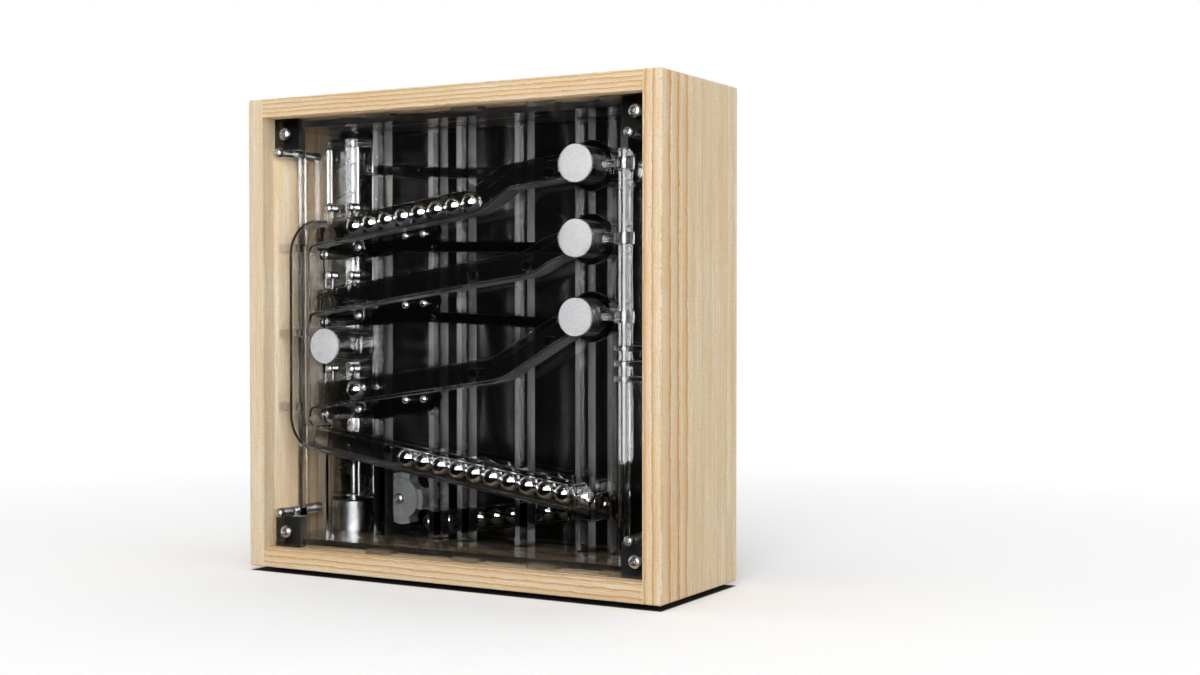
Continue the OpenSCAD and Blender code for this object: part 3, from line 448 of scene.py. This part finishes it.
def finish_piece(name, mesh, look, body, *replaced):
    """Mesh into the scene as a piece of a body, in place of the CAD nodes named."""
    made = placed(name, mesh)
    if not mesh.materials:
        mesh.materials.append(LOOKS[look])
    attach(made, body)
    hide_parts(*replaced)


def on_outside(face):
    """True for a face that lies on the case's own box."""
    middle = face.calc_center_median()
    low, high = CASE_BOX
    return any(abs(middle[i] - low[i]) < TOUCH or abs(middle[i] - high[i]) < TOUCH
               for i in range(3))


def ease(shape, edges, radius, segments):
    """Round these edges of a bmesh."""
    bmesh.ops.bevel(shape, geom=edges, offset=radius, segments=segments, profile=0.5,
                    affect="EDGES")


def cuboid(size, middle):
    """A box as a bmesh, in metres."""
    shape = bmesh.new()
    bmesh.ops.create_cube(shape, size=1.0)
    bmesh.ops.scale(shape, vec=size, verts=shape.verts)
    bmesh.ops.translate(shape, vec=middle, verts=shape.verts)
    return shape


def to_mesh(shape, name, smooth=True):
    """The bmesh as a mesh, smooth between its sharp edges or flat."""
    mesh = bpy.data.meshes.new(name)
    shape.to_mesh(mesh)
    shape.free()
    for face in mesh.polygons:
        face.use_smooth = smooth
    if smooth:
        mesh.set_sharp_from_angle(angle=math.radians(35))
    return mesh


def board(name, look):
    """A wooden board the size of its CAD node, with the case's outer edges eased."""
    low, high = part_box(name)
    shape = cuboid(high - low, (low + high) / 2)
    ease(shape, [e for e in shape.edges if not all(on_outside(f) for f in e.link_faces)],
         OTHER_EASE, 2)
    outer = [e for e in shape.edges if len(e.link_faces) == 2
             and all(on_outside(f) and f.calc_area() > SMALLEST_SIDE for f in e.link_faces)]
    ease(shape, outer, OUTER_EASE, 5)
    finish_piece(name + "_eased", to_mesh(shape, name + "_eased", False), look, "frame", name)


board("left_side", "side_wood")
board("right_side", "side_wood_right")
board("top_board", "top_wood")
board("bottom_board", "bottom_wood")

GEOMETRY, OBJECT, MATERIAL, INTEGER = ("NodeSocketGeometry", "NodeSocketObject",
                                       "NodeSocketMaterial", "NodeSocketInt")
BALL_D = 12.7
FULL_TURN = 6.28  # radians, within which parts are turned at random


def geometry_group(name, inputs):
    """A new geometry group; returns tree, group input, group output and the inputs' identifiers."""
    tree = bpy.data.node_groups.new(name, "GeometryNodeTree")
    ids = {}
    for label, kind, default in inputs:
        socket = tree.interface.new_socket(label, in_out="INPUT", socket_type=kind)
        if default is not None:
            socket.default_value = default
        ids[label] = socket.identifier
    tree.interface.new_socket("Geometry", in_out="OUTPUT", socket_type="NodeSocketGeometry")
    return tree, tree.nodes.new("NodeGroupInput"), tree.nodes.new("NodeGroupOutput"), ids


def dress_and_end(tree, given, out, on_points):
    """Real meshes of the instances, in the material given, as the tree's result."""
    real = node(tree, "GeometryNodeRealizeInstances", inputs={0: on_points.outputs[0]})
    dressed = node(tree, "GeometryNodeSetMaterial",
                   inputs={0: real.outputs[0], "Material": given.outputs["Material"]})
    link(tree, dressed.outputs[0], out.inputs[0])


def ball_tree():
    """A smooth steel ball on every point."""
    tree, given, out, ids = geometry_group("balls_on_points", [
        ("Points", GEOMETRY, None), ("Radius", FLOAT, BALL_D / 2 * MM),
        ("Seed", INTEGER, SEED), ("Material", MATERIAL, None)])
    ball = node(tree, "GeometryNodeMeshIcoSphere",
                inputs={"Radius": given.outputs["Radius"], "Subdivisions": 5})
    smooth = node(tree, "GeometryNodeSetShadeSmooth", inputs={0: ball.outputs[0]})
    turn = node(tree, "FunctionNodeRandomValue", data_type="FLOAT_VECTOR",
                inputs={0: (0, 0, 0), 1: (FULL_TURN,) * 3, "Seed": given.outputs["Seed"]})
    on_points = node(tree, "GeometryNodeInstanceOnPoints",
                     inputs={"Points": given.outputs["Points"],
                             "Instance": smooth.outputs[0], "Rotation": turn.outputs[0]})
    dress_and_end(tree, given, out, on_points)
    return tree, ids


def part_tree():
    """The part given by an object on every point, rolled at random and turned to its facing."""
    tree, given, out, ids = geometry_group("parts_on_points", [
        ("Points", GEOMETRY, None), ("Part", OBJECT, None), ("Size", FLOAT, 1.0),
        ("Seed", INTEGER, SEED), ("Material", MATERIAL, None)])
    source = node(tree, "GeometryNodeObjectInfo", inputs={"Object": given.outputs["Part"]})
    roll = node(tree, "FunctionNodeRandomValue", data_type="FLOAT",
                inputs={2: 0.0, 3: FULL_TURN, "Seed": given.outputs["Seed"]})
    facing = node(tree, "GeometryNodeInputNamedAttribute", data_type="FLOAT",
                  inputs={"Name": "facing"})
    turn = node(tree, "ShaderNodeCombineXYZ", inputs={1: roll.outputs[1],
                                                      2: facing.outputs[0]})
    on_points = node(tree, "GeometryNodeInstanceOnPoints",
                     inputs={"Points": given.outputs["Points"],
                             "Instance": source.outputs["Geometry"],
                             "Rotation": turn.outputs[0], "Scale": given.outputs["Size"]})
    dress_and_end(tree, given, out, on_points)
    return tree, ids


def evaluated_mesh(thing):
    """A new mesh of the object as its modifiers leave it; they are then removed."""
    bpy.context.view_layer.update()
    seen = thing.evaluated_get(bpy.context.evaluated_depsgraph_get())
    mesh = bpy.data.meshes.new_from_object(seen)
    thing.modifiers.clear()
    return mesh


def grown(tree, ids, points, settings, facing=None):
    """The mesh that a geometry tree makes from these points."""
    mesh = bpy.data.meshes.new("points")
    mesh.from_pydata(points, [], [])
    if facing:
        mesh.attributes.new("facing", "FLOAT", "POINT").data.foreach_set("value", facing)
    carrier = placed("points", mesh)
    modifier = carrier.modifiers.new("grow", "NODES")
    modifier.node_group = tree
    for label, value in settings.items():
        modifier[ids[label]] = value
    result = evaluated_mesh(carrier)
    bpy.data.objects.remove(carrier)
    return result


def ball_piece(name, body, replaced):
    """Steel balls in place of a CAD node's balls."""
    mesh = grown(*BALLS, centres(replaced),
                 {"Radius": BALL_D / 2 * MM, "Material": LOOKS["steel_ball"]})
    finish_piece(name, mesh, "steel_ball", body, replaced)


def islands(name):
    """Lowest and highest corner of each loose solid of a CAD node."""
    shape = bmesh.new()
    shape.from_mesh(frame["nodes"][name].data)
    bmesh.ops.remove_doubles(shape, verts=shape.verts, dist=1e-6)
    seen, found = set(), []
    for start in shape.verts:
        if start.index in seen:
            continue
        stack, island = [start], []
        seen.add(start.index)
        while stack:
            vert = stack.pop()
            island.append(vert.co.copy())
            for edge in vert.link_edges:
                other = edge.other_vert(vert)
                if other.index not in seen:
                    seen.add(other.index)
                    stack.append(other)
        found.append((Vector([min(v[i] for v in island) for i in range(3)]),
                      Vector([max(v[i] for v in island) for i in range(3)])))
    shape.free()
    return sorted(found, key=lambda box: (round(box[0].x, 4), round(box[0].y, 4),
                                          round(box[0].z, 4)))


def centres(name):
    """Middle of each loose solid of a CAD node."""
    return [(low + high) / 2 for low, high in islands(name)]


def turned(profile, steps=48):
    """A closed solid turned round the Y axis from (place on the axis, radius) points in mm."""
    shape = bmesh.new()
    rings = []
    for y, radius in profile:
        if radius == 0:
            rings.append([shape.verts.new((0, y * MM, 0))])
        else:
            rings.append([shape.verts.new((radius * MM * math.cos(math.tau * i / steps), y * MM,
                                           radius * MM * math.sin(math.tau * i / steps)))
                          for i in range(steps)])
    for low, high in zip(rings, rings[1:]):
        for i in range(steps):
            j = (i + 1) % steps
            corners = [low[i % len(low)], low[j % len(low)], high[j % len(high)],
                       high[i % len(high)]]
            kept = [v for k, v in enumerate(corners) if v not in corners[:k]]
            if len(kept) > 2:
                shape.faces.new(kept)
    bmesh.ops.recalc_face_normals(shape, faces=shape.faces)
    return shape


PAN_HEIGHT = 0.32  # of a pan head, as a share of its width
PITCH, ROOT = 0.55, 0.84  # of a thread in mm, and its root as a share of its width
ARM, SLIT, DEPTH, TAPER = 0.32, 0.08, 0.95, 0.45  # of a cross recess


def recess_arm(head, turn):
    """One arm of a cross recess, tapered towards its floor, as a tool to cut with."""
    tall, half_long, half_wide = head * PAN_HEIGHT, head * ARM, head * SLIT
    cutter = bmesh.new()
    bmesh.ops.create_cube(cutter, size=1.0)
    cosine, sine = math.cos(turn), math.sin(turn)
    for vert in cutter.verts:
        outward = vert.co.y < 0
        taper = 1.0 if outward else TAPER
        x, z = vert.co.x * 2 * half_long * taper, vert.co.z * 2 * half_wide * taper
        y = -tall * 1.1 if outward else -tall * (1 - DEPTH)
        vert.co = Vector((x * cosine - z * sine, y, x * sine + z * cosine)) * MM
    bmesh.ops.recalc_face_normals(cutter, faces=cutter.faces)
    return placed("recess", to_mesh(cutter, "recess", False))


def pan_screw(head, shaft, long):
    """Domed pan head at y < 0 with a cross recess, and a threaded shaft behind it; all in mm."""
    tall, half, thick = head * PAN_HEIGHT, head / 2, shaft / 2
    dome = [(-tall, 0), (-tall * 0.985, half * 0.30), (-tall * 0.94, half * 0.52),
            (-tall * 0.84, half * 0.72), (-tall * 0.66, half * 0.87),
            (-tall * 0.42, half * 0.965), (-tall * 0.20, half), (-tall * 0.04, half),
            (0, half * 0.985), (0, thick * 0.98)]
    turns = max(3, int(long / PITCH))
    thread = [(long * (i + part) / turns, thick * (1.0 if part else ROOT))
              for i in range(turns) for part in (0, 0.5)]
    shape = turned(dome + thread[1:] + [(long, thick * ROOT), (long, 0)], 32)
    body = placed("screw_body", to_mesh(shape, "screw_body"))
    for turn in (0, math.pi / 2):
        tool = recess_arm(head, turn)
        cut = body.modifiers.new("cut", "BOOLEAN")
        cut.operation, cut.object, cut.solver = "DIFFERENCE", tool, "EXACT"
        body.data = evaluated_mesh(body)
        bpy.data.objects.remove(tool)
    return body


def turned_part(name, profile, steps=48):
    """A turned part for the geometry tree that sets parts on points."""
    return bpy.data.objects.new(name, to_mesh(turned(profile, steps), name))


def parts_piece(name, part, points, look, body, replaced, facing=None):
    """One piece made of a part on every point; the part itself is used up."""
    mesh = grown(*PARTS, points, {"Part": part, "Material": LOOKS[look]},
                 facing or [0.0] * len(points))
    bpy.data.objects.remove(part)
    finish_piece(name, mesh, look, body, replaced)


PANEL_SCREWS = ("corner_screws", "standoff_screws")


def screws(name, replaced, head, shaft):
    """Screws in place of a CAD node's screws, each head where the node has it.

    The panel screws at the back of the case face backwards, all others forwards.
    """
    boxes = islands(replaced)
    tall = head * PAN_HEIGHT * MM
    points, facing = [], []
    for low, high in boxes:
        middle = (low + high) / 2
        forward = replaced not in PANEL_SCREWS or middle.y < 0
        points.append((middle.x, low.y + tall if forward else high.y - tall, middle.z))
        facing.append(0.0 if forward else math.pi)
    long = min(high.y - low.y for low, high in boxes) / MM - head * PAN_HEIGHT
    parts_piece(name, pan_screw(head, shaft, long), points, "screw_steel", "frame", replaced,
                facing)


BALLS, PARTS = ball_tree(), part_tree()
ball_piece("minute_steel_balls", "minute_row_of_balls", "minute_balls")
ball_piece("hour_steel_ball", "hour_row_ball", "hour_ball")
ball_piece("reservoir_steel_balls", "reservoir_row_of_balls", "reservoir_balls")
ball_piece("rear_steel_balls", "frame", "rear_balls")

screws("corner_pan_screws", "corner_screws", head=8.0, shaft=4.0)
screws("standoff_pan_screws", "standoff_screws", head=5.6, shaft=3.0)
screws("track_pan_screws", "track_screws", head=5.0, shaft=3.0)
screws("gate_pan_screws", "gate_pivots", head=4.6, shaft=3.0)
screws("wheel_pan_screw", "wheel_screw", head=7.0, shaft=4.0)

# outlines in mm of turned parts: place along the axis from the front, and radius
CAP_THICK = 2.0
CAP = [(0, 0), (0, 10.2), (0.08, 10.7), (0.3, 11.08), (0.6, 11.2), (1.7, 11.2),
       (CAP_THICK, 11.0), (CAP_THICK, 0)]
PIN = [(-2.4, 0), (-2.36, 0.55), (-2.22, 1.15), (-1.95, 1.7), (-1.6, 2.1), (-1.2, 2.36),
       (-0.8, 2.48), (-0.5, 2.5), (2.1, 2.5), (2.4, 2.2), (2.4, 0)]
RIM = 1.5
RING = [(0.2, 0), (0.2, 1.2), (0.0, 1.45), (-1.0, 1.5), (-1.3, 1.62), (-RIM, 1.9), (-RIM, 2.3),
        (-1.38, 2.6), (-1.1, 2.78), (-0.8, 2.8), (-0.3, 2.8), (-0.3, 2.0), (2.9, 2.0), (2.9, 0)]

parts_piece("eased_tube_caps", turned_part("cap", CAP, 96),
            [(p.x, p.y - CAP_THICK / 2 * MM, p.z) for p in centres("tube_caps")],
            "white_cap", "frame", "tube_caps")
for row in ("minute", "tens", "hour"):
    parts_piece(row + "_domed_weights", turned_part("pin", PIN), centres(row + "_weights"),
                "bright_pin", row + "_lever_body", row + "_weights")
parts_piece("rounded_bushings", turned_part("ring", RING),
            [((low.x + high.x) / 2, low.y + RIM * MM, (low.z + high.z) / 2)
             for low, high in islands("lever_bushings")],
            "bright_pin", "frame", "lever_bushings")


def feet():
    """Low rubber feet with rounded rims and a dished middle underneath."""
    shape = bmesh.new()
    profile = [(0.35, 0), (0.35, 3.6), (0, 4.4), (0, 6.1), (0.25, 6.7), (0.7, 6.95), (3, 7),
               (3, 0)]
    for spot in centres("feet"):
        mesh = to_mesh(turned(profile), "foot", False)
        mesh.transform(Matrix.Translation((spot.x, spot.y, 0))
                       @ Matrix.Rotation(math.radians(90), 4, "X"))
        shape.from_mesh(mesh)
    bmesh.ops.recalc_face_normals(shape, faces=shape.faces)
    finish_piece("dished_feet", to_mesh(shape, "dished_feet"), "foot_rubber", "frame", "feet")


feet()

PLATE_T = 1.6  # of the circuit board, in mm


def block(shape, x, y, z, size, rounding=0.2):
    """An eased box added to a bmesh, middle and size in mm, with its back on y."""
    made = cuboid(Vector(size) * MM, Vector((x, y - size[1] / 2, z)) * MM)
    ease(made, made.edges[:], rounding * MM, 2)
    mesh = to_mesh(made, "block", False)
    shape.from_mesh(mesh)
    bpy.data.meshes.remove(mesh)


def board_parts():
    """Circuit board with its chips, sockets and two rows of small parts, flat on the back panel."""
    low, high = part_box("control_board")
    x, z = (low.x + high.x) / 2 / MM, (low.z + high.z) / 2 / MM
    back, width, height = high.y / MM, (high.x - low.x) / MM, (high.z - low.z) / MM
    plate = bmesh.new()
    block(plate, x, back, z, (width, PLATE_T, height), 0.3)
    finish_piece("board_plate", to_mesh(plate, "board_plate", False), "circuit_board", "frame",
                 "control_board")
    parts = bmesh.new()
    for dx, dz, size in ((-5, 3, (9, 1.4, 9)), (7, 6, (5, 1.2, 4)), (7, -2, (6, 1.9, 5)),
                         (-11, -8, (8, 1.9, 4)), (3, -9, (8, 1.9, 4)), (-13, 9, (4, 1.0, 3))):
        block(parts, x + dx, back - PLATE_T, z + dz, size)
    for i in range(8):
        block(parts, x - 10 + i * 2.6, back - PLATE_T, z - 4, (1.2, 0.6, 0.7), 0.1)
    for i in range(5):
        block(parts, x + 12.5, back - PLATE_T, z - 7 + i * 3, (1.4, 0.7, 0.8), 0.1)
    finish_piece("board_parts", to_mesh(parts, "board_parts", False), "black_plastic", "frame",
                 "control_board")


board_parts()


# ---- stage ----

WHITE = (1, 1, 1, 1)
# the second colour is a painted shadow: the floor's near-black colour under the case
FLOOR_COLOUR, PAINTED_SHADOW_COLOUR = (0.9, 0.9, 0.9, 1), (0.04, 0.04, 0.04, 1)
WORLD_LIGHT = 0.60
MIRROR_LIGHT = 0.015  # of the dark studio between the boxes
FADE = (0.22, 0.75)  # metres from the clock, from floor to plain white
BOXES_START = 0.9  # metres from the clock at which the floor begins to show the boxes
OUTSIDE = 0.35  # share of the boxes' light in a mirrored ray that no clear part has let through
# direction, half width, lowest and highest angle in degrees, and brightness
MIRROR_BOXES = [(84, 6, -5, 60, 7.0), (-78, 5, -5, 60, 6.0), (107, 7, -5, 50, 4.0),
                (-106, 7, -5, 50, 4.0), (150, 14, 5, 50, 1.5), (-150, 14, 5, 50, 1.5),
                (68, 1.6, -5, 42, 8.0), (75, 1.2, -5, 50, 8.0)]
# direction, height and half width in degrees, and brightness
MIRROR_ROUND = (31, 4, 28, 14.0)
MIDDLE = (0, 0, 0.15)  # of the case, where the lamps point
CAMERA_PLACE, CAMERA_DOWN, CAMERA_TURN, LENS = (0.57226, -0.86063, 0.16975), 1.05, 29.65, 49.35


def soft_boxes(tree, toward, path):
    """Brightness of the studio's upright boxes and round light in a direction.

    They show only in mirrored and refracted rays. They are dimmed by OUTSIDE in a ray that
    hasn't passed through a clear part, so they are stronger inside the case.
    """
    unit = node(tree, "ShaderNodeVectorMath", operation="NORMALIZE", inputs={0: toward}).outputs[0]
    part = node(tree, "ShaderNodeSeparateXYZ", inputs={0: unit})
    up = part.outputs[2]
    turn = math_node(tree, "ARCTAN2", part.outputs[0],
                     math_node(tree, "MULTIPLY", part.outputs[1], -1.0))
    bright = MIRROR_LIGHT
    for place, spread, low, high, brightness in MIRROR_BOXES:
        away = math_node(tree, "ABSOLUTE", math_node(tree, "SUBTRACT", turn,
                                                     math.radians(place)))
        inside = math_node(tree, "LESS_THAN", away, math.radians(spread))
        inside = math_node(tree, "MULTIPLY", inside,
                           math_node(tree, "GREATER_THAN", up, math.sin(math.radians(low))))
        inside = math_node(tree, "MULTIPLY", inside,
                           math_node(tree, "LESS_THAN", up, math.sin(math.radians(high))))
        bright = math_node(tree, "MAXIMUM", bright,
                           math_node(tree, "MULTIPLY", inside, brightness))
    place, height, half, brightness = MIRROR_ROUND
    sideways, upward = math.radians(place), math.radians(height)
    spot = (math.sin(sideways) * math.cos(upward), -math.cos(sideways) * math.cos(upward),
            math.sin(upward))
    near = node(tree, "ShaderNodeVectorMath", operation="DOT_PRODUCT",
                inputs={0: unit, 1: spot}).outputs["Value"]
    round_box = math_node(tree, "GREATER_THAN", near, math.cos(math.radians(half)))
    bright = math_node(tree, "MAXIMUM", bright,
                       math_node(tree, "MULTIPLY", round_box, brightness))
    within = math_node(tree, "MINIMUM", path.outputs["Transmission Depth"], 1.0)
    return math_node(tree, "MULTIPLY", bright, remap(tree, within, 0.0, 1.0, OUTSIDE, 1.0))


def mirrored_ray(tree, path):
    """1 for a mirrored or refracted ray, or else 0."""
    return math_node(tree, "MAXIMUM", path.outputs["Is Glossy Ray"],
                     path.outputs["Is Transmission Ray"])


def stage_floor():
    """White floor that keeps the clock's shadow and fades into the white background.

    It is painted nearly black under the case, a painted shadow for the dark line that the
    photograph shows there.
    """
    made, tree, place, shader, out = new_material("pale_floor")
    path = node(tree, "ShaderNodeLightPath")
    spot = node(tree, "ShaderNodeSeparateXYZ", inputs={0: place})
    past = [math_node(tree, "SUBTRACT", math_node(tree, "ABSOLUTE", spot.outputs[i]),
                      CASE_BOX[1][i]) for i in (0, 1)]
    # painted shadow: a mask that paints the floor near black under the case's footprint
    painted_shadow_under_case = remap(tree, math_node(tree, "MAXIMUM", *past), -1.0 * MM, 0.5 * MM, 1.0, 0.0)
    link(tree, mix_colour(tree, painted_shadow_under_case, FLOOR_COLOUR, PAINTED_SHADOW_COLOUR),
         shader.inputs["Base Color"])
    shader.inputs["Roughness"].default_value = 0.9
    shader.inputs["Specular IOR Level"].default_value = 0.1
    far = node(tree, "ShaderNodeVectorMath", operation="LENGTH", inputs={0: place}).outputs[1]
    fade = remap(tree, far, FADE[0], FADE[1])
    fade = math_node(tree, "MULTIPLY", fade, path.outputs["Is Camera Ray"])
    glow = node(tree, "ShaderNodeEmission", inputs={0: WHITE, 1: 1.0})
    mixed = node(tree, "ShaderNodeMixShader",
                 inputs={0: fade, 1: shader.outputs[0], 2: glow.outputs[0]})
    distant = math_node(tree, "GREATER_THAN", far, BOXES_START)
    boxes = node(tree, "ShaderNodeEmission", inputs={
        0: WHITE,
        1: math_node(tree, "MULTIPLY", distant, soft_boxes(tree, place, path))})
    mirrored = node(tree, "ShaderNodeMixShader",
                    inputs={0: mirrored_ray(tree, path), 1: mixed.outputs[0],
                            2: boxes.outputs[0]})
    link(tree, mirrored.outputs[0], out.inputs[0])
    bpy.ops.mesh.primitive_plane_add(size=30, location=(0, 0, 0))
    floor = bpy.context.object
    floor.name = "floor"
    floor.data.materials.append(made)


def world():
    """White to the camera, soft light from above, dark with bright soft boxes in reflections."""
    made = bpy.data.worlds.new("studio")
    bpy.context.scene.world = made
    made.use_nodes = True
    tree = made.node_tree
    tree.nodes.clear()
    path = node(tree, "ShaderNodeLightPath")
    toward = node(tree, "ShaderNodeTexCoord").outputs["Generated"]
    up = node(tree, "ShaderNodeSeparateXYZ", inputs={0: toward}).outputs[2]
    sky = remap(tree, up, 0.0, 0.9, WORLD_LIGHT * 0.08, WORLD_LIGHT * 1.6)
    strength = node(tree, "ShaderNodeMix", data_type="FLOAT",
                    inputs={0: mirrored_ray(tree, path), 2: sky,
                            3: soft_boxes(tree, toward, path)}).outputs[0]
    strength = math_node(tree, "MAXIMUM", strength, path.outputs["Is Camera Ray"])
    back = node(tree, "ShaderNodeBackground", inputs={0: WHITE, 1: strength})
    out = node(tree, "ShaderNodeOutputWorld")
    link(tree, back.outputs[0], out.inputs[0])


def lamp(name, place, size, brightness, shape="RECTANGLE"):
    """Soft box whose face has this brightness, where 1 is white; it lights matt surfaces only."""
    data = bpy.data.lights.new(name, "AREA")
    data.shape = shape
    data.size, data.size_y = size
    area = size[0] * size[1] * (math.pi / 4 if shape == "ELLIPSE" else 1)
    data.energy = brightness * math.pi * area
    made = placed(name, data)
    made.location = place
    made.rotation_euler = (Vector(MIDDLE) - Vector(place)).to_track_quat("-Z", "Y").to_euler()
    made.visible_camera = False
    made.visible_glossy = False
    made.visible_transmission = False


def camera():
    """The photograph's camera, fitted to the case's edges."""
    data = bpy.data.cameras.new("camera")
    data.lens, data.sensor_width = LENS, 36.0
    made = placed("camera", data)
    made.location = CAMERA_PLACE
    made.rotation_euler = (math.radians(90 - CAMERA_DOWN), 0, math.radians(CAMERA_TURN))
    bpy.context.scene.camera = made


stage_floor()
world()
lamp("front_round", (0.75, -1.50, 1.15), (1.1, 1.1), brightness=5.2, shape="ELLIPSE")
lamp("top_box", (0.1, -0.2, 1.9), (1.6, 1.2), brightness=0.75)
lamp("right_strip", (1.7, -0.1, 0.9), (0.5, 1.2), brightness=1.15)
lamp("left_strip", (-1.8, -0.5, 1.0), (0.4, 1.2), brightness=1.6)
camera()
bpy.context.scene.view_settings.view_transform = "Standard"
